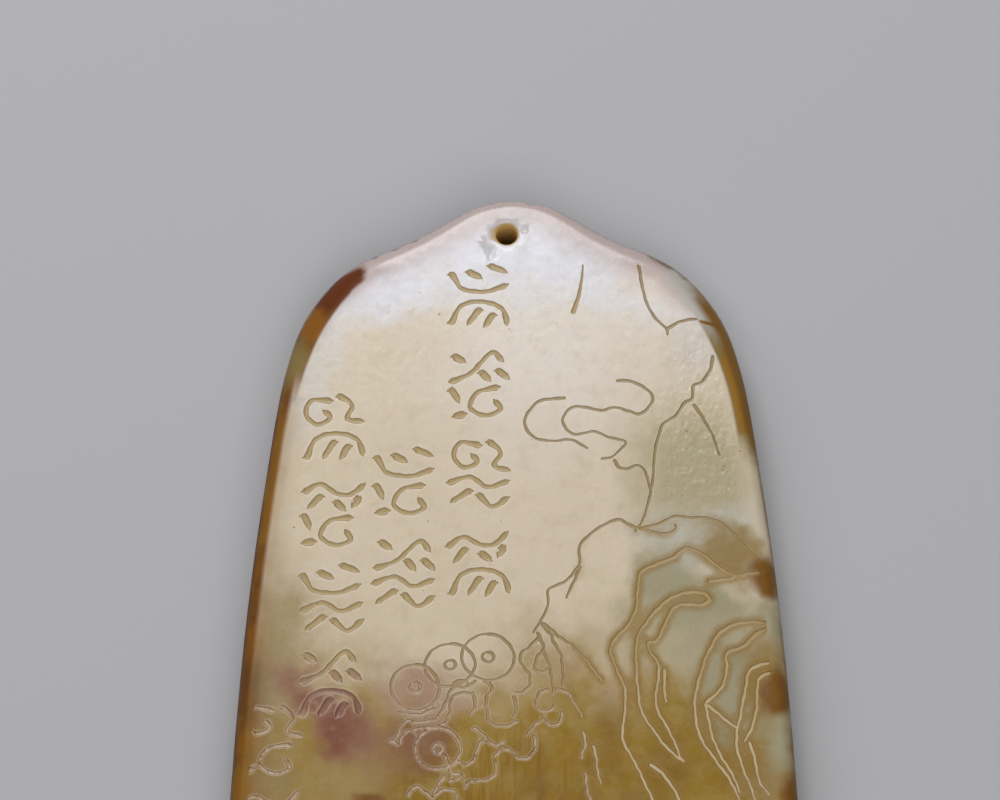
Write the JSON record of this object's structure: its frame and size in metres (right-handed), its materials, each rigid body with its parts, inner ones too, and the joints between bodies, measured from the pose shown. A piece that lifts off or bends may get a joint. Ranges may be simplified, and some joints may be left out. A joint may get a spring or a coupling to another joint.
{
  "type": "jade pendant",
  "caption": "Flat jade plaque pendant with an ogee top, a drilled cord hole, a rounded rim and an incised landscape beside columns of brush-like strokes.",
  "frame": {"origin": "middle of the flat back, which the pendant lies on, under the centre of its bounding box", "axes": "+Z out of the carved face, +Y along the pendant towards the cord hole, +X across it to the right of the carved face"},
  "size_m": [0.0574, 0.1, 0.008],
  "materials": {
    "jade": "polished"
  },
  "bodies": {
    "root": {"jade_pendant": "jade"}
  },
  "joints": []
}
